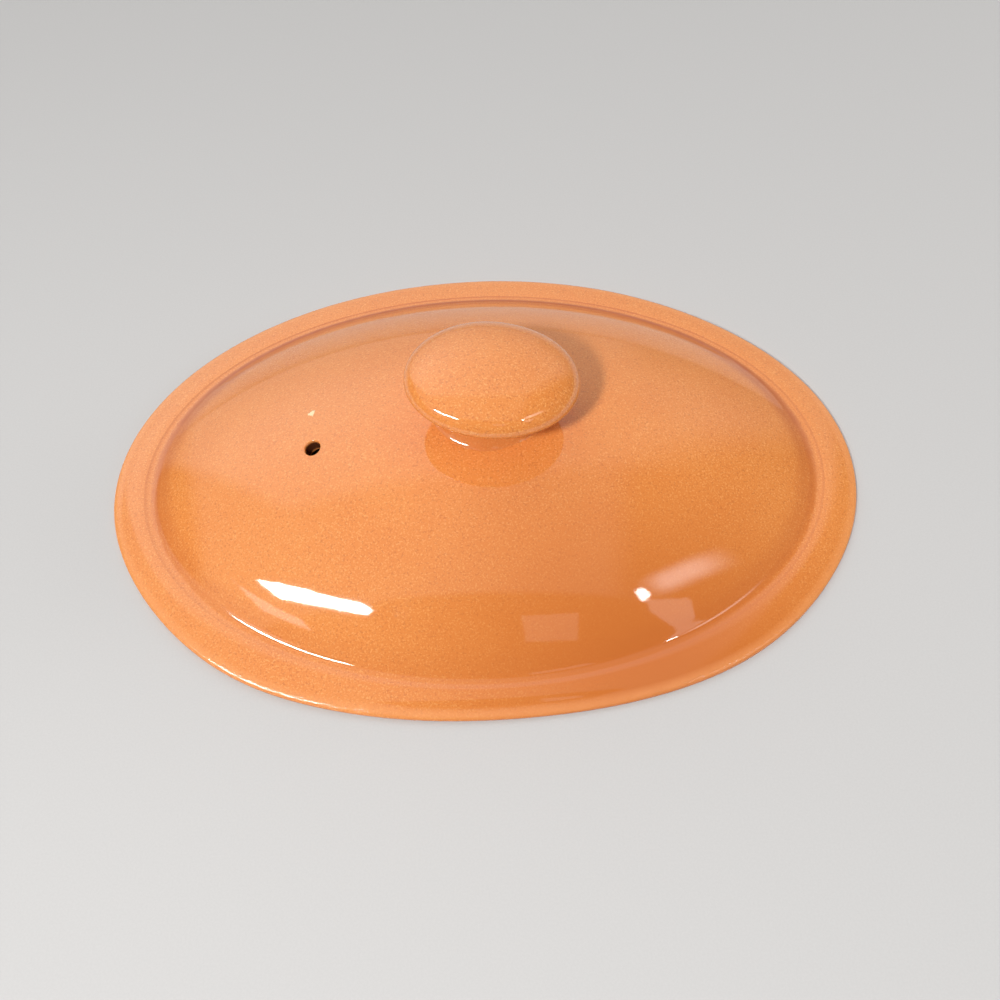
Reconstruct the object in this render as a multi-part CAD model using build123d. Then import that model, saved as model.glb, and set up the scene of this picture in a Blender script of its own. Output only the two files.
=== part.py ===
from build123d import *
import os

# Oval stoneware casserole lid: a pressed and hollowed shell, an oval mushroom knob
# formed apart from it, and the bead of slip that lutes the two together.
# Millimetres. +Z is up, the brim rests on Z = 0 and the long axis lies along X.
# The origin is the centre of the oval footprint, on the resting face.

# ---- driving sizes: the oval brim -------------------------------------------
LID_LENGTH = 240.0          # along X, over the brim
LID_WIDTH = 170.0           # along Y, over the brim
BRIM_AT_SIDES = 10.5        # width of the flat brim, along Y
BRIM_AT_ENDS = 13.2         # width of the flat brim, along X
BRIM_THICK = 5.0
RIM_ROUND_IN = 4.2          # how far in the upper edge is rounded off
RIM_ROUND_DOWN = 3.0        # how far down the edge this rounding reaches
RIM_BREAK = 1.6             # the smaller rounding of the lower edge

# ---- driving sizes: the cove and the dome -----------------------------------
COVE_WIDTH = 2.3            # hollow rounding between the brim and the dome
COVE_RISE = 0.9             # how far it climbs before the dome takes over
DOME_CROWN = 34.0           # height of the dome at the middle
DOME_WALL = 5.0             # thickness of the clay, at the crown and at the foot of the dome

# ---- driving sizes: the steam vent ------------------------------------------
VENT_BORE = 5.0             # diameter of the pierced hole
VENT_X = -51.0              # from the middle, towards one end
VENT_Y = -6.1               # a little off the long axis, as pierced by hand

# ---- driving sizes: the knob ------------------------------------------------
KNOB_LENGTH = 50.6          # over the cap, along X
KNOB_WIDTH = 40.8           # over the cap, along Y
KNOB_EDGE_HEIGHT = 16.5     # from the crown of the dome up to the widest line of the cap
KNOB_CAP_HEIGHT = 11.5      # from the widest line of the cap up to its own crown
KNOB_FOOT = 27.2            # spread of the neck where it stands on the dome, along X
KNOB_WAIST = 24.4           # least thickness of the neck, along X
KNOB_WAIST_HEIGHT = 4.8     # height of the waist above the crown of the dome
KNOB_X = 2.5                # the knob was set a little off the middle
KNOB_LEAN = 4.0             # degrees, leaning towards +X

# ---- driving sizes: the slip bead -------------------------------------------
BEAD_SPREAD = 1.7           # how far the slip stands out round the foot of the neck
BEAD_RISE = 2.2             # how far it climbs the neck

# ---- sizes that follow from them --------------------------------------------
brim_top = BRIM_THICK
dome_spring = brim_top + COVE_RISE           # where the dome rises out of the cove
hollow_inset = COVE_WIDTH + DOME_WALL        # mouth of the hollow, in from the flat brim
hollow_spring = brim_top - DOME_WALL / 2     # where the hollow's upright mouth ends
knob_squash = KNOB_WIDTH / KNOB_LENGTH
foot_depth = 4.0                             # knob and bead are made this much too long


# ---- building blocks --------------------------------------------------------
def rim_oval(inset, z=0.0):
    """An oval parallel to the edge of the brim and `inset` inside it, at height z."""
    return Plane.XY.offset(z) * Ellipse(LID_LENGTH / 2 - inset, LID_WIDTH / 2 - inset)


def reach_along(inset):
    """Half the length of the oval that lies `inset` inside the flat of the brim."""
    return LID_LENGTH / 2 - BRIM_AT_ENDS - inset


def reach_across(inset):
    """Half the width of the same oval."""
    return LID_WIDTH / 2 - BRIM_AT_SIDES - inset


def dome_oval(inset, z=0.0):
    return Plane.XY.offset(z) * Ellipse(reach_along(inset), reach_across(inset))


def oval_stack(oval, profile):
    """A solid whose side follows a profile of (inset, z) stations all the way round."""
    return loft([oval(inset, z) for inset, z in profile], ruled=True)


def rounded(start, corner, end, steps=3):
    """Stations along a soft corner between two points, as (inset, z) pairs."""
    stations = []
    for step in range(steps + 1):
        t = step / steps
        inset, z = [
            (1 - t) ** 2 * a + 2 * t * (1 - t) * b + t**2 * c
            for a, b, c in zip(start, corner, end)
        ]
        stations.append((inset, z))
    return stations


def dome_radius(inset, spring, crown):
    """Half length of the ellipsoid that oval_dome turns."""
    rise = crown - spring
    return (reach_along(inset) ** 2 + rise**2) / (2 * rise)


def oval_dome(inset, spring, crown):
    """An ellipsoid that tops out at `crown` and passes through dome_oval(inset, spring)."""
    radius = dome_radius(inset, spring, crown)
    half_width = radius * reach_across(inset) / reach_along(inset)
    section = make_face(
        Curve()
        + [
            EllipticalCenterArc((0, 0), radius, half_width, start_angle=-90, arc_size=180),
            Line((0, half_width), (0, -half_width)),
        ]
    )
    return Pos(0, 0, crown - radius) * revolve(section, Axis.Y)


def turned_oval(outline):
    """Turn an outline about the knob's axis, press it to the knob's oval and lean it."""
    turned = revolve(Plane.XZ * make_face(outline), Axis.Z)
    pressed = scale(turned, by=(1, knob_squash, 1))
    return Pos(KNOB_X, 0, DOME_CROWN) * Rot(0, KNOB_LEAN, 0) * pressed


# ---- the shell --------------------------------------------------------------
def brim():
    lower = rounded((RIM_BREAK, 0), (0, 0), (0, RIM_BREAK))
    upper = rounded((0, brim_top - RIM_ROUND_DOWN), (0, brim_top), (RIM_ROUND_IN, brim_top))
    return oval_stack(rim_oval, lower + upper)


def cove():
    """The low plinth with hollow sides that carries the dome on the brim."""
    return oval_stack(
        dome_oval, rounded((0, brim_top), (COVE_WIDTH / 2, brim_top), (COVE_WIDTH, dome_spring))
    )


def vent():
    """The steam vent, pierced square to the dome."""
    radius = dome_radius(COVE_WIDTH, dome_spring, DOME_CROWN)
    stretch = reach_along(COVE_WIDTH) / reach_across(COVE_WIDTH)
    depth = (radius**2 - VENT_X**2 - (VENT_Y * stretch) ** 2) ** 0.5
    centre = (VENT_X, VENT_Y, DOME_CROWN - radius + depth)
    outward = (VENT_X, VENT_Y * stretch**2, depth)
    return Plane(origin=centre, z_dir=outward) * Cylinder(VENT_BORE / 2, 6 * DOME_WALL)


outer_dome = oval_dome(COVE_WIDTH, dome_spring, DOME_CROWN)
inner_dome = oval_dome(hollow_inset, hollow_spring, DOME_CROWN - DOME_WALL)
cap = extrude(dome_oval(0, dome_spring), DOME_CROWN) & outer_dome
hollow = extrude(dome_oval(hollow_inset, -1), DOME_CROWN) & inner_dome
lid_shell = brim() + cove() + cap - hollow - vent()


# ---- the knob and its bead of slip ------------------------------------------
waist = KNOB_WAIST / 2
foot = KNOB_FOOT / 2


def neck():
    """The hollow side of the neck, from the dome to the slip's edge and on to the waist."""
    share = BEAD_RISE / KNOB_WAIST_HEIGHT
    bend = (waist, KNOB_WAIST_HEIGHT / 2)
    edge = (waist + (foot - waist) * (1 - share) ** 2, BEAD_RISE)
    lower = Bezier((foot, 0), (foot + (waist - foot) * share, BEAD_RISE / 2), edge)
    upper = Bezier(edge, (waist, (KNOB_WAIST_HEIGHT + BEAD_RISE) / 2), (waist, KNOB_WAIST_HEIGHT))
    return lower, upper


def knob_blank():
    lower, upper = neck()
    edge = KNOB_LENGTH / 2
    lift = KNOB_EDGE_HEIGHT - KNOB_WAIST_HEIGHT
    under = Bezier(
        (waist, KNOB_WAIST_HEIGHT),
        (waist, KNOB_WAIST_HEIGHT + 0.47 * lift),
        (edge, KNOB_EDGE_HEIGHT - 0.45 * lift),
        (edge, KNOB_EDGE_HEIGHT),
    )
    over = EllipticalCenterArc(
        (0, KNOB_EDGE_HEIGHT), edge, KNOB_CAP_HEIGHT, start_angle=0, arc_size=90
    )
    outline = Curve() + [
        Line((0, -foot_depth), (foot, -foot_depth)),
        Line((foot, -foot_depth), (foot, 0)),
        lower,
        upper,
        under,
        over,
        Line(over @ 1, (0, -foot_depth)),
    ]
    return turned_oval(outline)


def bead_blank():
    lower = neck()[0]
    outer = foot + BEAD_SPREAD
    outline = Curve() + [
        Line((foot, -foot_depth), (foot, 0)),
        lower,
        Spline(lower @ 1, (outer, 0), tangents=[(1, -0.15), (0, -1)]),
        Line((outer, 0), (outer, -foot_depth)),
        Line((outer, -foot_depth), (foot, -foot_depth)),
    ]
    return turned_oval(outline)


knob = knob_blank() - outer_dome
knob_slip_collar = bead_blank() - outer_dome

os.makedirs("parts", exist_ok=True)
export_step(lid_shell, "parts/lid_shell.step")
export_step(knob, "parts/knob.step")
export_step(knob_slip_collar, "parts/knob_slip_collar.step")
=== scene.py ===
import functools
import math

import bmesh
import bpy
import numpy as np
from bpy.props import FloatProperty, FloatVectorProperty, PointerProperty
from bpy.types import Operator, Panel, PropertyGroup
from mathutils import Matrix, Vector


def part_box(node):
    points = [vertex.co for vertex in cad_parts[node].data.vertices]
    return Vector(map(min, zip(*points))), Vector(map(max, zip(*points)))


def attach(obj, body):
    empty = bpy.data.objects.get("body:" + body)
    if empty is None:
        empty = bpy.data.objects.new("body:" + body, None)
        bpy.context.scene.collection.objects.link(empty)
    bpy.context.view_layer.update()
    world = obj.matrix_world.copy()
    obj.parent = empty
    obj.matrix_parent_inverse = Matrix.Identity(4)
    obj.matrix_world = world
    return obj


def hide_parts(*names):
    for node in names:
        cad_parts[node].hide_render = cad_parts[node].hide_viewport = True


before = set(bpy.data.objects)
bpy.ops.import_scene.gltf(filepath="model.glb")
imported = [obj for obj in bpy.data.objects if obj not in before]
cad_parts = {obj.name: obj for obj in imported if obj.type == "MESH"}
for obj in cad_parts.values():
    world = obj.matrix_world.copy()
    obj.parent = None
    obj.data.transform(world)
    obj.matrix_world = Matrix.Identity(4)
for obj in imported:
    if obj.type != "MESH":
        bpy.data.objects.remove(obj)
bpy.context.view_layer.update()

bl_info = {
    "name": "Oval Casserole Lid",
    "version": (1, 0, 0),
    "blender": (4, 5, 0),
    "location": "View3D > Sidebar > Casserole Lid",
    "description": "Builds the glazed shell, the knob and the slip of an oval stoneware lid",
    "category": "Add Mesh",
}

MM = 0.001
WHITE = (1.0, 1.0, 1.0)
AROUND = 512  # points round the shell
KNOB_AROUND = 288  # points round the knob and its slip
RING_GAP = 1.2 * MM  # between the rings of the two domes
NECK_RINGS, HOLLOW_RINGS, CAP_RINGS, SLIP_RINGS = 21, 43, 63, 14
VENT_BLOCK = (14, 5)  # half size of the patch opened for it, in points and rings

shell_low, shell_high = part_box("lid_shell")


# ---- sizes and colours ----
def number(name, description, default, **kind):
    return FloatProperty(name=name, description=description, default=default, **kind)


def place(name, description, default, **kind):
    return number(name, description, default, unit="LENGTH", subtype="DISTANCE",
                  precision=5, **kind)


def size(name, description, default):
    return place(name, description, default, min=0.0)


def amount(name, description, default):
    return number(name, description, default, min=0.0)


def slant(name, description, default):
    return number(name, description, math.radians(default), unit="ROTATION", subtype="ANGLE")


def power(name, description, default):
    return number(name, description, default, min=0.0, unit="POWER")


def colour(name, description, default):
    return FloatVectorProperty(name=name, description=description, default=default,
                               size=3, min=0.0, max=1.0, subtype="COLOR")


class ShellSizes(PropertyGroup):
    """Sizes of the pressed shell."""

    length: size("Length", "Over the brim, along X", shell_high.x - shell_low.x)
    width: size("Width", "Over the brim, along Y", shell_high.y - shell_low.y)
    crown: size("Crown", "Height of the dome at the middle", shell_high.z)
    wall: size("Wall", "Thickness of the clay", 5.0 * MM)
    brim_at_sides: size("Brim at sides", "Width of the flat brim, along Y", 10.5 * MM)
    brim_at_ends: size("Brim at ends", "Width of the flat brim, along X", 13.2 * MM)
    brim_thick: size("Brim thickness", "Height of the brim's upper face", 5.0 * MM)
    brim_fall: size("Brim fall", "How much lower the brim's edge is than its root", 1.9 * MM)
    rim_in: size("Rim rounding in", "How far in the upper edge is rounded", 3.4 * MM)
    rim_down: size("Rim rounding down", "How far down the upper edge is rounded", 2.0 * MM)
    rim_break: size("Rim break", "Rounding of the lower edge", 1.0 * MM)
    cove_width: size("Cove width", "From the flat of the brim to the dome's foot", 2.3 * MM)
    cove_rise: size("Cove rise", "How far the dome's foot lies above the brim", 0.9 * MM)
    cove_dip: size("Cove dip", "How far below the brim the foot of the cove aims", 0.4 * MM)
    # The band at the foot of the dome is coloured darker, most at the back.
    dark_foot_band: size("Glaze band", "Thicker glaze at the foot of the dome", 6.2 * MM)
    vent_bore: size("Vent bore", "Diameter of the steam vent", 5.0 * MM)
    vent_lip: size("Vent lip", "Rounding of the glaze at the vent's edge", 0.55 * MM)
    vent_x: place("Vent X", "Place of the vent along the lid", -51.0 * MM)
    vent_y: place("Vent Y", "Place of the vent across the lid", -5.6 * MM)
    dome_waver: size("Dome waver", "Unevenness of the pressed dome", 0.02 * MM)
    rim_waver: size("Rim waver", "Unevenness of the wiped rim", 0.06 * MM)


class KnobSizes(PropertyGroup):
    """Sizes of the oval mushroom knob and of the slip at its foot."""

    length: size("Length", "Over the cap, along X", 50.9 * MM)
    width: size("Width", "Over the cap, along Y", 44.4 * MM)
    edge_height: size("Edge height", "From the dome to the cap's widest line", 16.5 * MM)
    cap_height: size("Cap height", "From the widest line to the cap's crown", 9.4 * MM)
    fullness: amount("Fullness", "2 is an ellipse, more a fuller shoulder", 1.97)
    foot: size("Foot", "Spread of the neck where it stands on the dome", 27.2 * MM)
    waist: size("Waist", "Least thickness of the neck", 24.4 * MM)
    waist_height: size("Waist height", "Height of the waist above the dome", 4.8 * MM)
    offset: place("Offset", "The knob was set a little off the middle", 2.9 * MM)
    lean: slant("Lean", "Towards +X", 4.8)
    tip: slant("Tip", "Towards +Y, of the cap alone", 4.9)
    waver: size("Waver", "Unevenness of the hand-shaped cap", 0.12 * MM)
    slip_spread: size("Slip spread", "How far the slip stands out round the neck", 2.2 * MM)
    slip_rise: size("Slip rise", "How far the slip climbs the neck", 2.8 * MM)


class GlazeColours(PropertyGroup):
    """Colours of the clay as they show through the clear glaze, and of the painted shade."""

    clay: colour("Clay", "The orange clay under the glaze", (0.77, 0.258, 0.061))
    mottle: colour("Mottle", "Clay that fired a little redder", (0.735, 0.228, 0.051))
    pale_grain: colour("Pale grain", "The finest grains in the clay", (0.92, 0.44, 0.14))
    dark_grain: colour("Dark grain", "Iron specks in the clay", (0.50, 0.12, 0.035))
    # Pooled glaze and painted shade: in creases, at the dome's foot, under the knob's cap and
    # round its neck.
    pooled: colour("Pooled", "Thick glaze in creases", (0.50, 0.118, 0.030))
    thin: colour("Thin", "Thin glaze over edges", (0.86, 0.36, 0.13))
    # Painted shade: darker, redder clay colour towards the front right.
    front_right_shade: colour("Painted_shade", "Redder clay on the flame's side", (0.58, 0.158, 0.030))
    bare: colour("Bare clay", "Wiped, unglazed seat of the brim", (0.70, 0.33, 0.17))
    # Painted shade: the vent's wall is coloured near black.
    sooty: colour("Vent wall", "Glaze darkened by steam", (0.10, 0.030, 0.012))
    spot: colour("Glaze spot", "A single cream spot in the glaze", (0.93, 0.74, 0.42))
    gloss: number("Roughness", "Roughness of the fired glaze", 0.03, min=0.0, max=1.0)


class StageLight(PropertyGroup):
    """The floor, the room's light, the glinting cards and the lamps."""

    floor: colour("Floor", "Colour of the plain floor", (0.56, 0.55, 0.54))
    surround: amount("Surround", "Light of the room's darker parts", 0.05)
    ceiling: amount("Ceiling light", "The ceiling, at its lighter west side", 0.56)
    haze: amount("Haze", "Soft light round the window", 0.18)
    streak: amount("Streak", "The soft streak at the front right", 3.0)
    wall: amount("Wall light", "The pale wall behind the lid", 0.66)
    glow: amount("Wall glow", "Extra light of the wall at the back left", 0.74)
    window: amount("Window light", "The long narrow light at the front left", 60.0)
    lamp: amount("Lamp", "The small light at the front right", 24.0)
    key: power("Key light", "The soft lamp at the front left", 11.8)
    fill: power("Fill light", "The broad lamp at the right", 4.3)


# ---- shapes shared by the pieces ----
def waves(seed, longest, shortest, count=16):
    """A smooth random field made of plane waves, between about -1 and 1."""
    draw = np.random.default_rng(seed)
    lengths = np.geomspace(longest, shortest, count)
    ways = draw.normal(size=(count, 3))
    ways /= np.linalg.norm(ways, axis=1)[:, None]
    turns = draw.uniform(0, math.tau, count)
    strengths = lengths / np.linalg.norm(lengths)

    def field(points):
        phase = points @ (ways / lengths[:, None]).T * math.tau + turns
        return np.sin(phase) @ strengths

    return field


def bezier(points, t):
    """Points along a Bezier curve of any degree; the control points may be arrays."""
    points = [np.asarray(p, float) for p in points]
    while len(points) > 1:
        points = [a + (b - a) * t for a, b in zip(points, points[1:])]
    return points[0]


def column(*values):
    return np.stack(np.broadcast_arrays(*values), axis=-1).astype(float)


class Dome:
    """An ellipsoid cap that tops out at `crown` over an oval of half sizes reach_x, reach_y."""

    def __init__(self, reach_x, reach_y, spring, crown):
        rise = crown - spring
        self.reach = np.array([reach_x, reach_y])
        self.radius = (reach_x ** 2 + rise ** 2) / (2 * rise)
        self.stretch = reach_x / reach_y
        self.middle = crown - self.radius

    def height(self, x, y):
        under = self.radius ** 2 - x ** 2 - (y * self.stretch) ** 2
        return self.middle + np.sqrt(np.maximum(under, 0.0))

    def normal(self, x, y):
        way = column(x, y * self.stretch ** 2, self.height(x, y) - self.middle)
        return way / np.linalg.norm(way, axis=-1, keepdims=True)

    def at(self, share, angle):
        """The point at a share of the reach and a parametric angle."""
        x = share * self.reach[0] * np.cos(angle)
        y = share * self.reach[1] * np.sin(angle)
        return column(x, y, self.height(x, y))

    def along(self, start, way):
        """Where the lines from `start` along `way` meet the dome."""
        points = np.array(start, float)
        for _ in range(12):
            gap = self.height(points[..., 0], points[..., 1]) - points[..., 2]
            points = points + way * (gap / way[..., 2])[..., None]
        return points


def placed(name, data):
    """A new object of these data, in the scene."""
    made = bpy.data.objects.new(name, data)
    bpy.context.scene.collection.objects.link(made)
    return made


class Skin:
    """A closed surface grown ring by ring, with marks that the glaze reads."""

    # Marks: pooled glaze with painted shade, thin glaze, bare clay, painted shade in the vent,
    # painted shade at the front right.
    MARKS = ("pooled", "thin", "bare", "sooty", "front_right_shade")

    def __init__(self):
        self.points = []
        self.faces = []
        self.marks = {name: [] for name in self.MARKS}
        self.count = 0

    def ring(self, points, **marks):
        numbers = np.arange(self.count, self.count + len(points))
        self.points.append(points)
        self.count += len(points)
        for name in self.MARKS:
            self.marks[name].append(np.broadcast_to(marks.get(name, 0.0), len(points)))
        return numbers

    def bridge(self, outer, inner, opened=()):
        """Faces between two rings; the inner one may have half as many points."""
        count = len(outer)
        if len(inner) == count:
            for j in range(count):
                if j not in opened:
                    k = (j + 1) % count
                    self.faces.append((outer[j], outer[k], inner[k], inner[j]))
            return
        for j in range(len(inner)):
            k = (j + 1) % len(inner)
            a, b, c = outer[2 * j], outer[2 * j + 1], outer[(2 * j + 2) % count]
            self.faces.append((a, b, inner[j]))
            self.faces.append((b, c, inner[k], inner[j]))

    def grow(self, last, points, **marks):
        """A new ring, joined to the last one."""
        now = self.ring(points, **marks)
        self.bridge(last, now)
        return now

    def join(self, rings):
        for a, b in zip(rings, rings[1:]):
            self.bridge(a, b)

    def cap(self, ring):
        self.faces.append(tuple(ring))

    def build(self, name, settle=None, front_shade=None):
        """The finished object; `settle` may move all the points at once."""
        points = np.concatenate(self.points)
        # The painted shade at the front right is worked out from all the points at once.
        if front_shade:
            self.marks["front_right_shade"] = [front_shade(points)]
        if settle:
            points = settle(points)
        mesh = bpy.data.meshes.new(name)
        faces = [tuple(int(v) for v in face) for face in self.faces]
        mesh.from_pydata([tuple(p) for p in points], [], faces)
        for mark, values in self.marks.items():
            layer = mesh.attributes.new(mark, "FLOAT", "POINT")
            layer.data.foreach_set("value", np.concatenate(values).astype(np.float32))
        body = bmesh.new()
        body.from_mesh(mesh)
        loose = [v for v in body.verts if not v.link_faces]
        bmesh.ops.delete(body, geom=loose, context="VERTS")
        bmesh.ops.recalc_face_normals(body, faces=body.faces)
        body.to_mesh(mesh)
        body.free()
        mesh.shade_smooth()
        return placed(name, mesh)


POOL_SHADE_EVEN = 0.55  # share of the pooled glaze and painted shade that is even all round
POOL_SHADE_BACK = 0.45  # share that is at the back and missing in front
BAND_FULLNESS = 1.6  # over 1, so that its foot is evenly dark
HALVING_SHARE = 0.25  # of a dome's reach, where the rings start to halve their points
LEAST_POINTS = 16


def pool_and_shade_at_back(angle):
    """Pooled glaze and painted shade at each side: most at the back, least in front."""
    return POOL_SHADE_EVEN + POOL_SHADE_BACK * np.sin(angle)


def dome_rings(skin, dome, shares, band=0.0):
    """Rings of a dome from the outside in, with fewer points near the middle.

    A band of this width at the foot of the dome is coloured darker, most at the back.
    """
    rings = []
    for share in shares:
        halvings = max(0, math.ceil(math.log2(HALVING_SHARE / share)))
        count = max(LEAST_POINTS, AROUND >> halvings)
        angle = np.arange(count) * math.tau / count
        points = dome.at(share, angle)
        foot = dome.at(1.0, angle)
        away = np.linalg.norm((foot - points)[:, :2], axis=1)
        pooled = 0.0
        if band:
            # Darker towards the dome's foot, most at the back.
            pooled = np.clip(BAND_FULLNESS * (1 - away / band), 0, 1) * pool_and_shade_at_back(angle)
        rings.append(skin.ring(points, pooled=pooled))
    return rings


# ---- the shell ----
# Where the brim was pressed by hand: angle and spread in degrees, and how far outwards.
BRIM_SWELLS = (
    (-127.0, 11.0, 1.55 * MM),
    (-86.0, 13.0, -1.35 * MM),
    (-49.0, 12.0, 1.45 * MM),
    (-158.0, 10.0, -0.45 * MM),
    (46.0, 14.0, -0.70 * MM),
    (125.0, 30.0, -0.35 * MM),
)


def brim_swell(angle):
    """How far the brim's edge departs from a true oval, outwards."""
    total = np.zeros_like(angle)
    for centre, spread, reach in BRIM_SWELLS:
        off = (np.degrees(angle) - centre + 180) % 360 - 180
        total += reach * np.exp(-0.5 * (off / spread) ** 2)
    return total


# Pooled glaze and painted shade across the cove, from the dome (0) to the flat brim (1): two
# dark lines and a paler strip between them.
COVE_POOL_AND_SHADE = ((0.0, 0.16, 0.34, 0.5, 0.72, 0.9, 1.0), (0.9, 1.5, 1.2, 0.25, 0.15, 0.9, 0.7))
COVE_SHARE = 0.990  # of the dome's reach, where the cove takes over
COVE_RUN_OUT = 0.6  # length of the cove on the brim, over that on the dome
COVE_LEAD = 0.3  # how far before its end it turns level, over the same

TURN_STEPS = np.linspace(0, 1, 15)  # along the cove and round the rim
BRIM_STEPS = (0.03, 0.06, *np.linspace(0, 1, 14)[1:-1])
BACK_LIFT = 0.75  # share of its fall that is missing at the back
BRIM_LEVEL = 0.4  # share of the brim that starts out level
# Control points of the rim's upper edge: the brow's place, how far the brim's slope carries
# on to it, its least height above the side, and the shoulder's share of that height.
BROW_IN = 0.4
BROW_REACH = 0.6
BROW_LEAST = 0.4
SHOULDER = 0.8
SEAT_LIP = 1.0 * MM  # rounding where the seat meets the hollow

VENT_SPREAD = 1.6  # crowds the vent's rings towards its lip
VENT_BENDS = np.radians((15, 30, 45, 60, 75, 90))
VENT_THIN = 0.6  # of the glaze on the vent's lip

# The painted shade, darker and redder, fades with the distance from one place under the brim's
# front edge.
FRONT_SHADE_PLACE = (50 * MM, -70 * MM)
FRONT_SHADE_REACH = 68 * MM
FRONT_SHADE_SPREAD = 0.66  # how much less it fades along the lid than across


class ShellForm:
    """The two domes and the brim and cove that lie between them."""

    def __init__(self, sizes):
        self.sizes = sizes
        self.spring = sizes.brim_thick + sizes.cove_rise
        self.mouth = sizes.cove_width + sizes.wall
        self.mouth_height = sizes.brim_thick - sizes.wall / 2
        self.angle = np.arange(AROUND) * math.tau / AROUND
        self.outer = Dome(*self.reach(sizes.cove_width), self.spring, sizes.crown)
        self.inner = Dome(*self.reach(self.mouth), self.mouth_height, sizes.crown - sizes.wall)

    def reach(self, inset):
        """Half sizes of the oval that lies `inset` inside the flat of the brim."""
        s = self.sizes
        return s.length / 2 - s.brim_at_ends - inset, s.width / 2 - s.brim_at_sides - inset

    def foot_oval(self, inset, z):
        reach_x, reach_y = self.reach(inset)
        return column(reach_x * np.cos(self.angle), reach_y * np.sin(self.angle), z)

    def rim_oval(self, inset, z):
        """A ring parallel to the brim's edge, swollen as the edge is."""
        half_length, half_width = self.sizes.length / 2, self.sizes.width / 2
        out = column(np.cos(self.angle) * half_width, np.sin(self.angle) * half_length, 0.0)
        out /= np.linalg.norm(out, axis=1)[:, None]
        flat = column((half_length - inset) * np.cos(self.angle),
                      (half_width - inset) * np.sin(self.angle), z)
        return flat + out * brim_swell(self.angle)[:, None]

    def cove_path(self):
        """Control rings of the cove, from the dome down to the root of the brim."""
        s = self.sizes
        on_dome = self.outer.at(COVE_SHARE, self.angle)
        slope = on_dome - self.outer.at(COVE_SHARE - 0.001, self.angle)
        drop = s.brim_thick - s.cove_dip - on_dome[:, 2]
        corner = on_dome + slope * (drop / slope[:, 2])[:, None]
        out = (corner - on_dome) * (1.0, 1.0, 0.0)
        out /= np.linalg.norm(out, axis=1)[:, None]
        arm = np.linalg.norm(corner - on_dome, axis=1)[:, None]
        root = corner + out * COVE_RUN_OUT * arm
        root[:, 2] = s.brim_thick
        lead = root - out * COVE_LEAD * arm
        return on_dome, corner, lead, root

    def cove_rings(self, skin, path):
        for t in TURN_STEPS:
            # Pooled glaze and painted shade across the cove, most at the back.
            pooled = float(np.interp(t, *COVE_POOL_AND_SHADE)) * pool_and_shade_at_back(self.angle)
            yield skin.ring(bezier(path, t), pooled=pooled)

    def rim_rings(self, skin, edge, slope):
        """Round the rim to the face it stands on; `edge` and `slope` are the brim's there."""
        s = self.sizes
        side, under = edge - s.rim_down, s.rim_break
        brow = np.maximum(edge + slope * s.rim_in * BROW_REACH, side + BROW_LEAST * s.rim_down)
        shoulder = side + SHOULDER * (brow - side)
        upper = [self.rim_oval(inset, z) for inset, z in (
            (s.rim_in, edge), (BROW_IN * s.rim_in, brow), (0.0, shoulder), (0.0, side))]
        lower = ((0.0, under), (0.0, 0.0), (under, 0.0))
        for t in TURN_STEPS:
            yield skin.ring(bezier(upper, t), thin=math.sin(math.pi * t))
        for t in TURN_STEPS:
            yield skin.ring(self.rim_oval(*bezier(lower, t)), bare=min(1.0, 2 * t))

    def seat_rings(self, skin):
        """Under the brim, from the rim to the mouth of the hollow."""
        seat_out = self.rim_oval(self.sizes.rim_break, 0.0)
        seat_in = self.foot_oval(self.mouth - SEAT_LIP, 0.0)
        for t in np.linspace(0, 1, 12)[1:-1]:
            yield skin.ring(seat_out + (seat_in - seat_out) * t, bare=1.0)
        turn = ((self.mouth - SEAT_LIP, 0.0), (self.mouth, 0.0), (self.mouth, SEAT_LIP))
        for t in np.linspace(0, 1, 9):
            yield skin.ring(self.foot_oval(*bezier(turn, t)), bare=1 - t)
        yield skin.ring(self.foot_oval(self.mouth, self.mouth_height))

    def edge_rings(self, skin):
        """From the dome down the cove, over the brim and round to the mouth of the hollow."""
        s = self.sizes
        path = self.cove_path()
        root = path[-1]
        edge = s.brim_thick - s.brim_fall * (1 - BACK_LIFT * np.clip(np.sin(self.angle), 0, 1))
        rim_start = self.rim_oval(s.rim_in, edge)
        level_end = root + (rim_start - root) * (BRIM_LEVEL, BRIM_LEVEL, 0.0)
        fall = rim_start - level_end
        slope = fall[:, 2] / np.linalg.norm(fall[:, :2], axis=1)
        return [
            *self.cove_rings(skin, path),
            *(skin.ring(bezier((root, level_end, rim_start), t)) for t in BRIM_STEPS),
            *self.rim_rings(skin, edge, slope),
            *self.seat_rings(skin),
        ]

    def opened_block(self, dome, rings, shares):
        """The patch of a dome's grid that makes way for the vent, and the loop round it."""
        half_points, half_rings = VENT_BLOCK
        centre = self.vent_centre(dome)
        u, v = centre[:2] / dome.reach
        j = round(math.atan2(v, u) / math.tau * AROUND) % AROUND
        i = int(np.argmin(np.abs(shares - math.hypot(u, v))))
        columns = range(j - half_points, j + half_points + 1)
        rows = range(i - half_rings, i + half_rings + 1)
        loop = [rings[rows[0]][c] for c in columns]
        loop += [rings[r][columns[-1]] for r in rows[1:]]
        loop += [rings[rows[-1]][c] for c in reversed(columns[:-1])]
        loop += [rings[r][columns[0]] for r in reversed(rows[1:-1])]
        opened = {r: set(columns[:-1]) for r in rows[:-1]}
        return np.array(loop), opened, centre

    def vent_axis(self):
        return self.outer.normal(self.sizes.vent_x, self.sizes.vent_y)

    def vent_centre(self, dome):
        """Where the vent's axis meets one of the two domes."""
        x, y = self.sizes.vent_x, self.sizes.vent_y
        top = np.array([x, y, self.outer.height(x, y)])
        if dome is self.outer:
            return top
        axis = self.vent_axis()
        return dome.along(top - 3 * self.sizes.wall * axis, axis)


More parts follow.
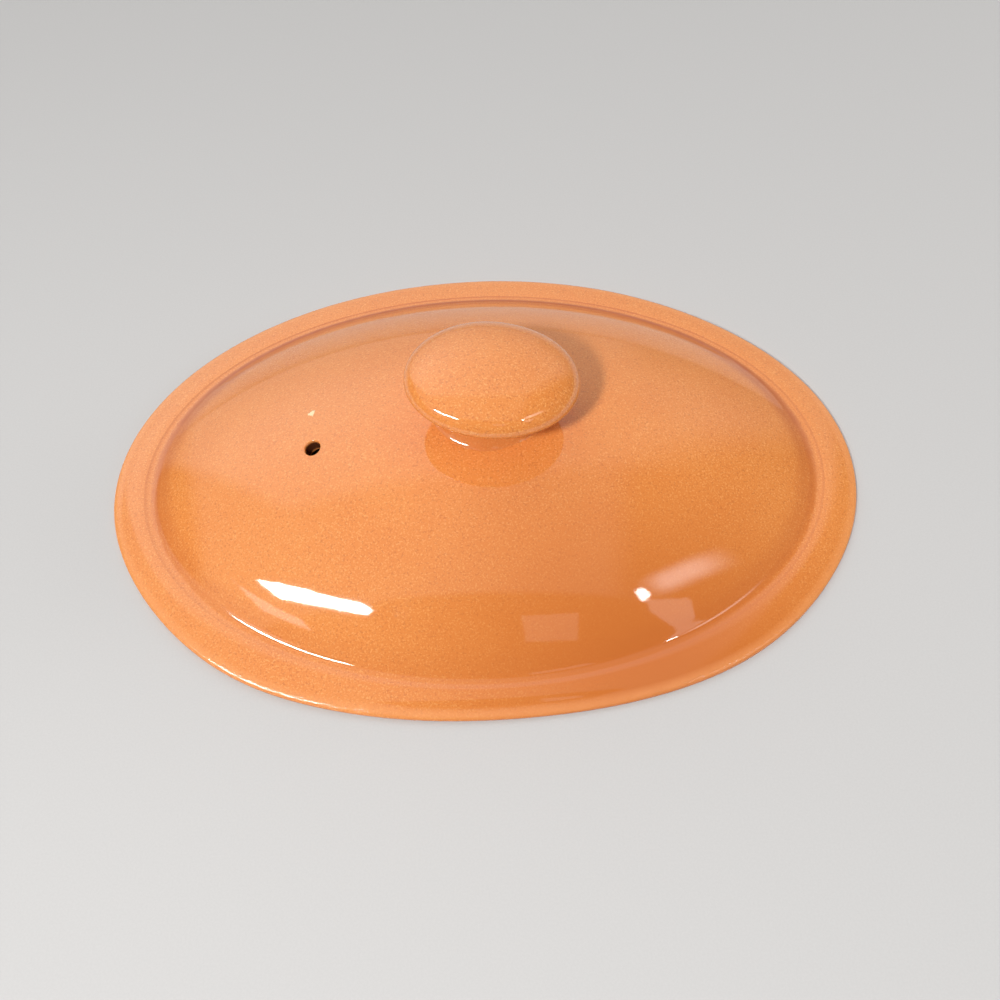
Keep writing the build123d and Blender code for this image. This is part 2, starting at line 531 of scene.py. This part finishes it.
def vent_mouth(skin, form, dome, rings, shares, sign):
    """Closes a dome's grid round the vent and gives the ring where its wall starts."""
    s = form.sizes
    axis = form.vent_axis()
    side = np.cross(axis, (0.0, 1.0, 0.0))
    side /= np.linalg.norm(side)
    across = np.cross(axis, side)
    bore, lip = s.vent_bore / 2, s.vent_lip
    last, opened, centre = form.opened_block(dome, rings, shares)
    for r, (a, b) in enumerate(zip(rings, rings[1:])):
        skin.bridge(a, b, opened.get(r, ()))
    points = np.concatenate(skin.points)[last]
    turn = np.arctan2((points - centre) @ across, (points - centre) @ side)
    spoke = np.cos(turn)[:, None] * side + np.sin(turn)[:, None] * across

    def circle(radius, sink=0.0):
        start = centre + spoke * radius - 6 * s.wall * axis
        return dome.along(start, np.broadcast_to(axis, start.shape)) + sink * axis

    for t in np.linspace(0, 1, 8)[1:]:
        flat = points + (circle(bore + lip) - points) * (1 - (1 - t) ** VENT_SPREAD)
        flat[:, 2] = dome.height(flat[:, 0], flat[:, 1])
        last = skin.grow(last, flat)
    for bend in VENT_BENDS:
        radius = bore + lip * (1 - math.sin(bend))
        sunk = circle(radius, sign * lip * (1 - math.cos(bend)))
        last = skin.grow(last, sunk, thin=VENT_THIN)
    return last


def vent_wall(skin, upper, lower):
    top, bottom = [np.concatenate(skin.points)[ring] for ring in (upper, lower)]
    last = upper
    for t in np.linspace(0, 1, 7)[1:-1]:
        # Painted shade: the vent's wall is coloured near black.
        last = skin.grow(last, top + (bottom - top) * t, sooty=1.0)
    skin.bridge(last, lower)


DOME_EASE = 12  # how soon the unevenness sets in from the dome's foot inwards,
RIM_EASE = 8  # and outwards


def hand_pressed(form):
    """The small unevenness that pressing and wiping by hand leave on the shell."""
    s = form.sizes
    uneven = waves(11, 140 * MM, 50 * MM)
    rim_uneven = waves(12, 60 * MM, 9 * MM)

    def settle(points):
        moved = points.copy()
        reach_x, reach_y = form.outer.reach
        inside = 1 - np.hypot(points[:, 0] / reach_x, points[:, 1] / reach_y)
        above = np.clip(points[:, 2] / s.brim_thick, 0, 1)
        on_dome = np.clip(inside * DOME_EASE, 0, 1) * above
        moved[:, 2] += s.dome_waver * uneven(points) * on_dome
        at_rim = np.clip(-inside * RIM_EASE, 0, 1) * above ** 2
        moved[:, 2] += s.rim_waver * rim_uneven(points) * at_rim
        return moved

    return settle


def front_right_shade(points):
    """Painted shade: 1 at the front right, fading to 0 round it."""
    along = FRONT_SHADE_SPREAD * (points[:, 0] - FRONT_SHADE_PLACE[0])
    away = np.hypot(along, points[:, 1] - FRONT_SHADE_PLACE[1])
    near = np.clip(1 - away / FRONT_SHADE_REACH, 0, 1)
    return near * near * (3 - 2 * near)


def build_shell(sizes):
    form = ShellForm(sizes)
    skin = Skin()
    shares_out = np.arange(COVE_SHARE, 0.01, -RING_GAP / form.outer.reach[0])[1:]
    shares_in = np.arange(1.0, 0.01, -RING_GAP / form.inner.reach[0])[1:]
    outer = dome_rings(skin, form.outer, shares_out, sizes.dark_foot_band)
    inner = dome_rings(skin, form.inner, shares_in)
    edge = form.edge_rings(skin)
    skin.join(edge)
    skin.bridge(edge[0], outer[0])
    skin.bridge(edge[-1], inner[0])
    skin.cap(outer[-1])
    skin.cap(inner[-1])
    upper = vent_mouth(skin, form, form.outer, outer, shares_out, -1.0)
    lower = vent_mouth(skin, form, form.inner, inner, shares_in, 1.0)
    vent_wall(skin, upper, lower)
    return skin.build("glazed_shell", hand_pressed(form), front_right_shade)


# ---- the knob and the slip at its foot ----
NECK_PRESS = 0.79  # width of the neck over its length
# Control points of the hollow under the cap, as shares of its height: up from the waist and
# down from the edge.
HOLLOW_START = 0.47
HOLLOW_END = 0.27
HOLLOW_SHADE = 0.25  # painted shade in that hollow under the cap
NECK_POOL_AND_SHADE = 0.6  # pooled glaze and painted shade at the foot of the neck, under the cap
NECK_POOL_AND_SHADE_FADE = 3  # how soon it fades up the neck
SOLE_STEPS = (0.25, 0.5, 0.75, 0.97)
NECK_HELD = 0.15  # share of the knob's height that stays as turned
NECK_EASE = 2  # how soon the unevenness sets in above that
KNOB_GRAIN = 1.15  # strength of the grains against the shell's
SLIP_GRAIN = 0.8
SLIP_RAGGED = 0.30  # how much its reach varies round the neck
SLIP_HOLLOW = 2.5  # over 1, so that its face is hollow
SLIP_SUNK = 0.12 * MM  # how far it bites into the knob and the shell
SLIP_POOL_AND_SHADE = 0.45  # pooled glaze and painted shade on the slip's face
# Pooled glaze and painted shade in the slip's creases.
SLIP_CREASE_POOL_AND_SHADE = 0.8


class KnobForm:
    """The knob's turned outline, pressed to an oval and leaning."""

    def __init__(self, sizes, dome, crown):
        self.sizes = sizes
        self.dome = dome
        self.angle = np.arange(KNOB_AROUND) * math.tau / KNOB_AROUND
        self.lean = np.array(Matrix.Rotation(sizes.lean, 3, "Y"))
        self.tip = np.array(Matrix.Rotation(-sizes.tip, 3, "X"))
        self.seat = np.array([sizes.offset, 0.0, crown])
        self.sole = self.find_sole()

    def neck(self, z):
        """Distance of the neck's hollow side from its axis."""
        s = self.sizes
        flare = np.clip((s.waist_height - z) / s.waist_height, 0, 1)
        return s.waist / 2 + (s.foot - s.waist) / 2 * flare**2

    def at(self, radius, z):
        """A ring of the knob, upright round the neck and tipped back in the cap."""
        s = self.sizes
        free = np.clip((z - s.waist_height) / (s.edge_height - s.waist_height), 0, 1)
        press = NECK_PRESS + (s.width / s.length - NECK_PRESS) * free
        local = column(radius * np.cos(self.angle), radius * press * np.sin(self.angle), z)
        pivot = np.array([0.0, 0.0, s.edge_height])
        tipped = (local - pivot) @ self.tip.T + pivot
        local += (tipped - local) * np.reshape(free, (-1, 1))
        return local @ self.lean.T + self.seat

    def find_sole(self):
        """The local height at which each side of the neck meets the dome."""
        z = np.zeros(KNOB_AROUND)
        for _ in range(12):
            p = self.at(self.neck(z), z)
            z = z + self.dome.height(p[:, 0], p[:, 1]) - p[:, 2]
        return z


def knob_outline(skin, form):
    """Rings from the dome up the neck, out under the cap and over its crown."""
    s = form.sizes
    lift = s.edge_height - s.waist_height
    under = (
        (s.waist / 2, s.waist_height),
        (s.waist / 2, s.waist_height + HOLLOW_START * lift),
        (s.length / 2, s.edge_height - HOLLOW_END * lift),
        (s.length / 2, s.edge_height),
    )
    for t in np.linspace(0, 1, NECK_RINGS + 1)[:-1]:
        z = form.sole + (s.waist_height - form.sole) * t
        # Pooled glaze and painted shade at the neck's foot, fading up the neck.
        pooled = NECK_POOL_AND_SHADE * max(0.0, 1 - NECK_POOL_AND_SHADE_FADE * t)
        yield skin.ring(form.at(form.neck(z), z), pooled=pooled)
    for t in np.linspace(0, 1, HOLLOW_RINGS + 1)[:-1]:
        # Painted shade under the cap, most halfway up the hollow.
        yield skin.ring(form.at(*bezier(under, t)), pooled=HOLLOW_SHADE * math.sin(math.pi * t))
    for bend in np.linspace(0, math.pi / 2, CAP_RINGS + 1)[:-1]:
        radius = s.length / 2 * math.cos(bend) ** (2 / s.fullness)
        z = s.edge_height + s.cap_height * math.sin(bend) ** (2 / s.fullness)
        yield skin.ring(form.at(radius, z))


def hand_shaped(form):
    """The small unevenness of the hand-shaped cap; the neck stays as turned."""
    s = form.sizes
    uneven = waves(21, 60 * MM, 12 * MM)
    middle = form.seat + (0.0, 0.0, s.edge_height)

    def settle(points):
        height = (points[:, 2] - form.seat[2]) / s.edge_height
        free = np.clip((height - NECK_HELD) * NECK_EASE, 0, 1)
        out = points - middle
        out /= np.maximum(np.linalg.norm(out, axis=1), MM)[:, None]
        return points + out * (s.waver * uneven(points) * free)[:, None]

    return settle


def build_knob(form):
    skin = Skin()
    rings = list(knob_outline(skin, form))
    skin.join(rings)
    skin.cap(rings[-1])
    foot = form.at(form.neck(form.sole), form.sole)
    middle = foot.mean(axis=0)
    last = rings[0]
    for t in SOLE_STEPS:
        flat = foot + (middle - foot) * t
        flat[:, 2] = form.dome.height(flat[:, 0], flat[:, 1])
        last = skin.grow(last, flat)
    skin.cap(last)
    return skin.build("mushroom_knob", hand_shaped(form))


def build_slip(form):
    s = form.sizes
    skin = Skin()
    ragged = waves(31, 26 * MM, 3.5 * MM)
    neck = form.neck(form.sole)
    foot = form.at(neck, form.sole)
    spread = s.slip_spread * (1 + SLIP_RAGGED * ragged(foot))
    rise = s.slip_rise * (1 + SLIP_RAGGED * ragged(foot[:, [1, 2, 0]]))
    outer = form.at(neck + spread, form.sole)
    outer[:, 2] = form.dome.height(outer[:, 0], outer[:, 1])
    climb = form.sole + rise
    top = form.at(form.neck(climb), climb)
    rings = []
    for bend in np.linspace(0, math.pi / 2, SLIP_RINGS):
        across, up = math.cos(bend) ** SLIP_HOLLOW, math.sin(bend) ** SLIP_HOLLOW
        points = foot + (outer - foot) * across + (top - foot) * up
        # Pooled glaze and painted shade on the slip's face.
        rings.append(skin.ring(points, pooled=SLIP_POOL_AND_SHADE))
    sunk = (0.0, 0.0, SLIP_SUNK)
    creases = (
        form.at(form.neck(climb) - SLIP_SUNK, climb),
        form.at(neck - SLIP_SUNK, form.sole) - sunk,
        outer - sunk,
    )
    # Pooled glaze and painted shade in the slip's creases.
    rings += [skin.ring(points, pooled=SLIP_CREASE_POOL_AND_SHADE) for points in creases]
    skin.join([*rings, rings[0]])
    return skin.build("foot_slip")


# ---- the glaze ----
class Wiring:
    """Nodes and links under construction."""

    def __init__(self, tree):
        self.tree = tree

    def node(self, kind, *values, **settings):
        """A new node with these settings, and these values in its first sockets."""
        made = self.tree.nodes.new(kind)
        for key, value in settings.items():
            setattr(made, key, value)
        for socket, value in zip(made.inputs, values):
            self.feed(socket, value)
        return made

    def feed(self, socket, value):
        if isinstance(value, bpy.types.NodeSocket):
            self.tree.links.new(value, socket)
        elif socket.type == "RGBA":
            socket.default_value = (*value, 1.0)
        else:
            socket.default_value = value

    def ramp(self, value, low, high, to_low=0.0, to_high=1.0):
        return self.node("ShaderNodeMapRange", value, low, high, to_low, to_high,
                         interpolation_type="SMOOTHSTEP").outputs["Result"]

    def maths(self, operation, *values):
        return self.node("ShaderNodeMath", *values, operation=operation).outputs[0]

    def times(self, a, b):
        return self.maths("MULTIPLY", a, b)

    def length(self, a, b):
        """Length of the flat vector a, b."""
        return self.maths("SQRT", self.maths("ADD", self.times(a, a), self.times(b, b)))

    def camera_ray(self):
        return self.node("ShaderNodeLightPath").outputs["Is Camera Ray"]


class Finish(Wiring):
    """A node material under construction."""

    def __init__(self, name):
        self.material = bpy.data.materials.new(name)
        self.material.use_nodes = True
        super().__init__(self.material.node_tree)
        self.shader = self.tree.nodes["Principled BSDF"]
        self.where = self.node("ShaderNodeTexCoord").outputs["Object"]

    def noise(self, grain, detail, roughness=0.5):
        """Cloudy noise whose features are about `grain` metres across."""
        return self.node("ShaderNodeTexNoise", self.where, 0.0, 1.0 / grain, detail,
                         roughness).outputs["Fac"]

    def patches(self, grain, detail, roughness, low, high, to_low=0.0, to_high=1.0):
        """Patches of noise: `to_low` where it is below `low`, `to_high` above `high`."""
        return self.ramp(self.noise(grain, detail, roughness), low, high, to_low, to_high)

    def specks(self, gap, radius):
        """Round specks of about `radius`, roughly `gap` apart, with soft edges."""
        made = self.node("ShaderNodeTexVoronoi", self.where, 0.0, 1.0 / gap, feature="F1")
        reach = radius / gap
        return self.ramp(made.outputs["Distance"], reach, 0.4 * reach), made.outputs["Color"]

    def distance(self, place):
        """How far each point lies from a place."""
        return self.node("ShaderNodeVectorMath", self.where, place,
                         operation="DISTANCE").outputs["Value"]

    def blend(self, share, below, above, way="MIX"):
        made = self.node("ShaderNodeMix", share, data_type="RGBA", blend_type=way)
        self.feed(made.inputs[6], below)
        self.feed(made.inputs[7], above)
        return made.outputs[2]

    def glow(self, level, tint=WHITE):
        return self.node("ShaderNodeEmission", tint, level).outputs[0]

    def show(self, shader):
        self.feed(self.tree.nodes["Material Output"].inputs["Surface"], shader)

    def mark(self, name):
        return self.node("ShaderNodeAttribute", attribute_name=name).outputs["Fac"]

    def bump(self, height, distance, normal=None):
        """Relief of the given depth, laid over another one."""
        made = self.node("ShaderNodeBump")
        self.feed(made.inputs["Height"], height)
        self.feed(made.inputs["Distance"], distance)
        if normal:
            self.feed(made.inputs["Normal"], normal)
        return made.outputs["Normal"]


# Cloudy patches: their width, the detail and the roughness of their noise, where in it they
# begin and are full, and for some what they change from and to.
MOTTLE = (24 * MM, 4.0, 0.6, 0.40, 0.68)
PALE_GRAIN = (0.55 * MM, 2.0, 0.6, 0.50, 0.70)
DARK_GRAIN = (0.70 * MM, 2.0, 0.6, 0.47, 0.30)
RAGGED = (5 * MM, 2.0, 0.5, 0.3, 0.7, 0.82, 1.0)
DULLER = (9 * MM, 3.0, 0.5, 0.3, 0.75)
DUST = (1.1 * MM, 4.0, 0.7, 0.35, 0.65)
SPOT_WOBBLE = (1.2 * MM, 2.0, 0.5, 0.3, 0.7, -0.35 * MM, 0.35 * MM)
PAPER = (0.6 * MM, 3.0, 0.5, 0.3, 0.7, 0.97, 1.0)

MOTTLE_STRENGTH = 0.55
PALE_STRENGTH = 0.60
DARK_STRENGTH = 0.44
IRON_GAP = 3.4 * MM
IRON_RADIUS = 0.26 * MM
IRON_FEW = (0.62, 0.66)  # chance above which a speck shows
IRON_STRENGTH = 0.55

GLAZE_IOR = 1.70  # a lead-bright clear glaze
DULLEST = 1.7  # roughness of the dullest patches over the glossiest
POOL_AND_SHADE_STRENGTH = 0.85
THIN_STRENGTH = 0.45
PEEL = (3.4 * MM, 1.0)  # width and detail of the shallow pits in the glaze
GRIT = (0.7 * MM, 2.0)  # width and detail of the sand grains under it
GRIT_THIN = 16.0  # how much more the grains stand out in thin glaze
GRIT_LEVEL = 0.5
RELIEF = 0.006 * MM  # height of the pits and the grains

SPOT_PLACE = (-52.1 * MM, 8.0 * MM)  # of the cream spot on the dome
SPOT_EDGE = (1.25 * MM, 0.95 * MM)  # where the spot's edge starts and is full
SPOT_STRENGTH = 0.92
SPOT_HEIGHT = 0.12 * MM

BARE_EDGE = (0.35, 0.6)
BARE_ROUGHNESS = 0.75


def speckled_clay(finish, colours, grain_strength):
    """The clay's colour under the glaze: mottling, pale grains and iron specks."""
    shade = colours.clay
    for cloud, strength, tint in (
            (MOTTLE, MOTTLE_STRENGTH, colours.mottle),
            (PALE_GRAIN, PALE_STRENGTH * grain_strength, colours.pale_grain),
            (DARK_GRAIN, DARK_STRENGTH * grain_strength, colours.dark_grain)):
        shade = finish.blend(finish.times(finish.patches(*cloud), strength), shade, tint)
    iron, chance = finish.specks(IRON_GAP, IRON_RADIUS)
    iron = finish.times(iron, finish.ramp(chance, *IRON_FEW))
    return finish.blend(finish.times(iron, IRON_STRENGTH), shade, colours.dark_grain)


def cream_spot(finish, place, shade, surface, tint):
    """A single raised drop of pale glaze with a wobbly edge."""
    away = finish.maths("ADD", finish.distance(place), finish.patches(*SPOT_WOBBLE))
    near = finish.ramp(away, *SPOT_EDGE)
    shade = finish.blend(finish.times(near, SPOT_STRENGTH), shade, tint)
    return shade, finish.bump(near, SPOT_HEIGHT, surface)


def glaze(name, colours, grain_strength, spot=None):
    """Clear gloss over speckled clay, pooled glaze and painted shade in creases, painted shade
    in the vent and at the front right, thin on edges, wiped where marked.
    """
    finish = Finish(name)
    shade = speckled_clay(finish, colours, grain_strength)
    # Painted shade at the front right.
    shade = finish.blend(finish.mark("front_right_shade"), shade, colours.front_right_shade)
    ragged = finish.patches(*RAGGED)
    # Pooled glaze and painted shade darken creases and the knob's neck; thin glaze lightens
    # edges.
    for mark, strength, tint in (("pooled", POOL_AND_SHADE_STRENGTH, colours.pooled),
                                 ("thin", THIN_STRENGTH, colours.thin)):
        there = finish.times(finish.mark(mark), ragged)
        shade = finish.blend(finish.times(there, strength), shade, tint)
    # Painted shade inside the vent.
    shade = finish.blend(finish.mark("sooty"), shade, colours.sooty)
    gloss = finish.patches(*DULLER, colours.gloss, DULLEST * colours.gloss)

    peel = finish.bump(finish.noise(*PEEL), RELIEF)
    sandy = finish.maths("ADD", finish.times(finish.mark("thin"), GRIT_THIN), GRIT_LEVEL)
    surface = finish.bump(finish.times(finish.noise(*GRIT), sandy), RELIEF, peel)
    if spot is not None:
        shade, surface = cream_spot(finish, spot, shade, surface, colours.spot)

    bare = finish.ramp(finish.times(finish.mark("bare"), ragged), *BARE_EDGE)
    dusty = finish.blend(finish.patches(*DUST), colours.bare, colours.thin)
    shade = finish.blend(bare, shade, dusty)
    rough = finish.ramp(bare, 0.0, 1.0, 0.0, BARE_ROUGHNESS)
    finish.feed(finish.shader.inputs["Base Color"], shade)
    finish.feed(finish.shader.inputs["Roughness"], finish.maths("ADD", gloss, rough))
    finish.feed(finish.shader.inputs["Normal"], surface)
    finish.shader.inputs["IOR"].default_value = GLAZE_IOR
    return finish.material


def dress(piece, node, slot, *finish):
    """Give a piece its glaze and tie it to the frame."""
    piece.data.materials.append(glaze(slot, *finish))
    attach(piece, "root")
    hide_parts(node)


# ---- the stage ----
CAMERA_PLACE = Vector((9.018, -201.044, 297.5)) * MM
CAMERA_TURN = math.radians(-1.1227)  # clockwise from straight along +Y
CAMERA_DROP = math.radians(57.1)  # below the horizon
CAMERA_ROLL = math.radians(-2.6)
CAMERA_LENS = 39.6
CAMERA_NEAREST = 0.01
# Round lamps: the place they are aimed at, azimuth and elevation from there, distance, width.
KEY_LIGHT = (Vector((39.0, 15.0, 29.0)) * MM, (-120.0, 47.0), 1.2, 0.12)
FILL_LIGHT = (Vector(), (10.0, 16.0), 1.1, 0.6)
BACKDROP = 0.85  # grey, for the camera alone
FLOOR_REACH = 6.0  # from its middle to its edges
FLOOR_DROP = 0.02 * MM  # keeps the floor clear of the seat
FLOOR_ROUGHNESS = 0.9
FLOOR_FADE = (0.35, 1.3)  # where it starts and ends to fade out

# Parts of the light on the map of class Room. An edge is the heading of the part's inside,
# how far it lies from the map's middle that way, and how soft it is.
CEILING_EDGES = ((90, -31, 1.5), (180, -27.5, 5), (0, -62, 3))
CEILING_SHADE = (-14, 14, 1.0, 0.68)  # from the lighter west side to the darker east
WALL_EDGES = ((31, -32, 3), (137, -9, 10), (97, 12, 5))
WALL_FADE = (92, 60, 0.35, 1.0)  # darker down by the horizon
STREAK_EDGES = ((45, 6, 4), (225, -24, 8), (135, -45.5, 2), (315, 40.5, 2))
HAZE_PLACE = (-38, -36, 42)  # east, north and spread
GLOW_PLACE = (-35, 40, 62)

# Cards that glint in the glaze, each seen from one place (mm) on the lid. Corners are azimuth
# and elevation from there, and shares are of the window's or the lamp's light.
CARD_DISTANCE = 2.0
LEFT, RIGHT, FRONT = (-46, -50, 15), (58, -48, 13), (19, -61, 13)
WARM = (1.0, 0.80, 0.78)
WINDOW_CORNERS = (
    (-163.3, 37.8), (-158.0, 41.3), (-152.3, 43.7), (-145.7, 45.7), (-139.1, 47.4),
    (-131.5, 48.8), (-126.6, 48.3), (-126.7, 46.9), (-128.5, 46.3), (-142.9, 42.9),
    (-152.0, 39.2), (-157.2, 38.7),
)
SILL_SHARE = 0.055
SILL_CORNERS = ((-172.5, 32.2), (-165.3, 33.3), (-142.1, 37.7), (-136.7, 36.5), (-152.1, 33.9))
SPOT_CORNERS = ((-44.8, 45.0), (-41.0, 45.6), (-40.5, 48.0), (-43.5, 48.4))
SHADE_SHARE = 0.05
SHADE_CORNERS = ((-43.6, 45.0), (-45.7, 41.6), (-43.9, 33.4), (-37.0, 35.1), (-33.3, 39.2))
PANEL_LEVEL = 0.6
PANEL_CORNERS = ((-81.6, 42.9), (-67.6, 40.8), (-63.1, 48.6), (-81.2, 51.1))


def aim(azimuth, elevation):
    """A unit direction from angles in degrees, azimuth counted from +X."""
    a, e = math.radians(azimuth), math.radians(elevation)
    return Vector((math.cos(a) * math.cos(e), math.sin(a) * math.cos(e), math.sin(e)))


def set_camera():
    camera = placed("camera", bpy.data.cameras.new("camera"))
    camera.matrix_world = (
        Matrix.Translation(CAMERA_PLACE)
        @ Matrix.Rotation(-CAMERA_TURN, 4, "Z")
        @ Matrix.Rotation(math.pi / 2 - CAMERA_DROP, 4, "X")
        @ Matrix.Rotation(CAMERA_ROLL, 4, "Z")
    )
    camera.data.lens = CAMERA_LENS
    camera.data.clip_start = CAMERA_NEAREST
    bpy.context.scene.camera = camera


def glowing_card(name, seen_at, corners, level, tint=WHITE):
    """A card that shows in the gloss alone, with its corners in these directions."""
    start = Vector(seen_at) * MM
    ways = [aim(*corner) for corner in corners]
    middle = sum(ways, Vector()).normalized()
    points = [start + way * (CARD_DISTANCE / way.dot(middle)) for way in ways]
    mesh = bpy.data.meshes.new(name)
    mesh.from_pydata([tuple(p) for p in points], [], [tuple(range(len(points)))])
    card = placed(name, mesh)
    finish = Finish(name)
    finish.show(finish.glow(level, tint))
    finish.tree.nodes.remove(finish.shader)
    mesh.materials.append(finish.material)
    card.visible_camera = card.visible_diffuse = card.visible_shadow = False


def pale_floor(tint):
    """A wide paper floor that fades into the backdrop for the camera."""
    mesh = bpy.data.meshes.new("floor")
    body = bmesh.new()
    bmesh.ops.create_grid(body, x_segments=4, y_segments=4, size=FLOOR_REACH)
    body.to_mesh(mesh)
    body.free()
    floor = placed("floor", mesh)
    floor.location.z = -FLOOR_DROP
    finish = Finish("floor_paper")
    shade = finish.blend(1.0, tint, finish.patches(*PAPER), "MULTIPLY")
    finish.feed(finish.shader.inputs["Base Color"], shade)
    finish.feed(finish.shader.inputs["Roughness"], FLOOR_ROUGHNESS)
    far = finish.ramp(finish.distance((0.0, 0.0, 0.0)), *FLOOR_FADE)
    faded = finish.node("ShaderNodeMixShader", finish.times(far, finish.camera_ray()),
                        finish.shader.outputs[0], finish.glow(BACKDROP))
    finish.show(faded.outputs[0])
    mesh.materials.append(finish.material)


class Room(Wiring):
    """The light of the room by direction, laid out as a map seen from below.

    The map's middle is straight up, its units are degrees from there, and its axes are
    `east` along +X and `north` along +Y.
    """

    def __init__(self, world):
        super().__init__(world.node_tree)
        way = self.node("ShaderNodeTexCoord").outputs["Generated"]
        x, y, z = self.node("ShaderNodeSeparateXYZ", way).outputs
        flat = self.maths("MAXIMUM", self.length(x, y), 0.0001)
        self.tilt = self.maths("DEGREES", self.maths("ARCCOSINE", z))
        spread = self.maths("DIVIDE", self.tilt, flat)
        self.east = self.times(x, spread)
        self.north = self.times(y, spread)

    def beyond(self, heading, start, soft):
        """1 further than `start` along a heading on the map, 0 on this side of it."""
        turn = math.radians(heading)
        reach = self.maths("ADD", self.times(self.east, math.cos(turn)),
                           self.times(self.north, math.sin(turn)))
        return self.ramp(reach, start - soft, start + soft)

    def near(self, east, north, spread):
        """1 at a place on the map, falling to 0 at `spread` from it."""
        off_east = self.maths("SUBTRACT", self.east, east)
        off_north = self.maths("SUBTRACT", self.north, north)
        return self.ramp(self.length(off_east, off_north), spread, 0.0)

    def within(self, edges):
        """1 on the inside of every edge."""
        return functools.reduce(self.times, [self.beyond(*edge) for edge in edges])

    def towards(self, level, reached, mask):
        """The level where the mask is 0, and the one reached where it is 1."""
        return self.raised(level, mask, self.maths("SUBTRACT", reached, level))

    def raised(self, level, mask, more):
        return self.maths("ADD", level, self.times(mask, more))


def set_world(light):
    """The room's light by direction, and a plain backdrop for the camera."""
    world = bpy.data.worlds.new("room")
    bpy.context.scene.world = world
    world.use_nodes = True
    room = Room(world)
    ceiling = room.times(room.ramp(room.east, *CEILING_SHADE), light.ceiling)
    wall_mask = room.times(room.within(WALL_EDGES), room.ramp(room.tilt, *WALL_FADE))
    glow_mask = room.times(wall_mask, room.near(*GLOW_PLACE))
    level = room.maths("ADD", light.surround, room.times(room.near(*HAZE_PLACE), light.haze))
    level = room.towards(level, ceiling, room.within(CEILING_EDGES))
    level = room.towards(level, light.wall, wall_mask)
    level = room.raised(level, glow_mask, light.glow)
    level = room.raised(level, room.within(STREAK_EDGES), light.streak)
    back = world.node_tree.nodes["Background"]
    room.feed(back.inputs["Color"], WHITE)
    room.feed(back.inputs["Strength"], room.towards(level, BACKDROP, room.camera_ray()))


def soft_lamp(name, level, aimed_at, angles, distance, width):
    """A round lamp that shades the lid but stays out of its gloss, where the cards show."""
    lamp = bpy.data.lights.new(name, "AREA")
    lamp.shape = "DISK"
    lamp.size = width
    lamp.energy = level
    holder = placed(name, lamp)
    way = aim(*angles)
    holder.location = aimed_at + way * distance
    holder.rotation_euler = way.to_track_quat("Z", "Y").to_euler()
    holder.visible_glossy = holder.visible_camera = False


def build_stage(light):
    set_camera()
    soft_lamp("key_light", light.key, *KEY_LIGHT)
    soft_lamp("fill_light", light.fill, *FILL_LIGHT)
    pale_floor(light.floor)
    set_world(light)
    window, lamp = light.window, light.lamp
    glowing_card("window_light", LEFT, WINDOW_CORNERS, window)
    glowing_card("window_sill", LEFT, SILL_CORNERS, SILL_SHARE * window, WARM)
    glowing_card("lamp_spot", RIGHT, SPOT_CORNERS, lamp)
    glowing_card("lamp_shade", RIGHT, SHADE_CORNERS, SHADE_SHARE * lamp)
    glowing_card("faint_panel", FRONT, PANEL_CORNERS, PANEL_LEVEL)


# ---- operators, panel and registration ----
class LID_OT_build_shell(Operator):
    """Build the glazed shell with its brim, cove, dome and steam vent"""

    bl_idname = "lid.build_shell"
    bl_label = "Build Glazed Shell"

    def execute(self, context):
        sizes, colours = context.scene.lid_shell_sizes, context.scene.lid_glaze_colours
        dome = ShellForm(sizes).outer
        spot = (*SPOT_PLACE, float(dome.height(*SPOT_PLACE)))
        dress(build_shell(sizes), "lid_shell", "shell_glaze", colours, 1.0, spot)
        return {"FINISHED"}


class LID_OT_build_knob(Operator):
    """Build the leaning mushroom knob and the slip that holds it"""

    bl_idname = "lid.build_knob"
    bl_label = "Build Knob and Slip"

    def execute(self, context):
        shell, colours = context.scene.lid_shell_sizes, context.scene.lid_glaze_colours
        form = KnobForm(context.scene.lid_knob_sizes, ShellForm(shell).outer, shell.crown)
        dress(build_knob(form), "knob", "knob_glaze", colours, KNOB_GRAIN)
        dress(build_slip(form), "knob_slip_collar", "slip_glaze", colours, SLIP_GRAIN)
        return {"FINISHED"}


class LID_OT_build_stage(Operator):
    """Set the camera, the pale floor and the soft lights"""

    bl_idname = "lid.build_stage"
    bl_label = "Build Stage"

    def execute(self, context):
        build_stage(context.scene.lid_stage_light)
        context.scene.view_settings.view_transform = "Standard"
        return {"FINISHED"}


class LID_PT_panel(Panel):
    """Lists the steps that build the lid"""

    bl_idname = "LID_PT_panel"
    bl_label = "Casserole Lid"
    bl_space_type = "VIEW_3D"
    bl_region_type = "UI"
    bl_category = "Casserole Lid"

    def draw(self, context):
        for operator in OPERATORS:
            self.layout.operator(operator.bl_idname)


SETTINGS = {
    "lid_shell_sizes": ShellSizes,
    "lid_knob_sizes": KnobSizes,
    "lid_glaze_colours": GlazeColours,
    "lid_stage_light": StageLight,
}
OPERATORS = (LID_OT_build_shell, LID_OT_build_knob, LID_OT_build_stage)


def register():
    for cls in (*SETTINGS.values(), *OPERATORS, LID_PT_panel):
        bpy.utils.register_class(cls)
    for name, group in SETTINGS.items():
        setattr(bpy.types.Scene, name, PointerProperty(type=group))


def unregister():
    for name in SETTINGS:
        delattr(bpy.types.Scene, name)
    for cls in reversed((*SETTINGS.values(), *OPERATORS, LID_PT_panel)):
        bpy.utils.unregister_class(cls)


def main():
    register()
    bpy.ops.lid.build_shell()
    bpy.ops.lid.build_knob()
    bpy.ops.lid.build_stage()


if __name__ == "__main__":
    main()
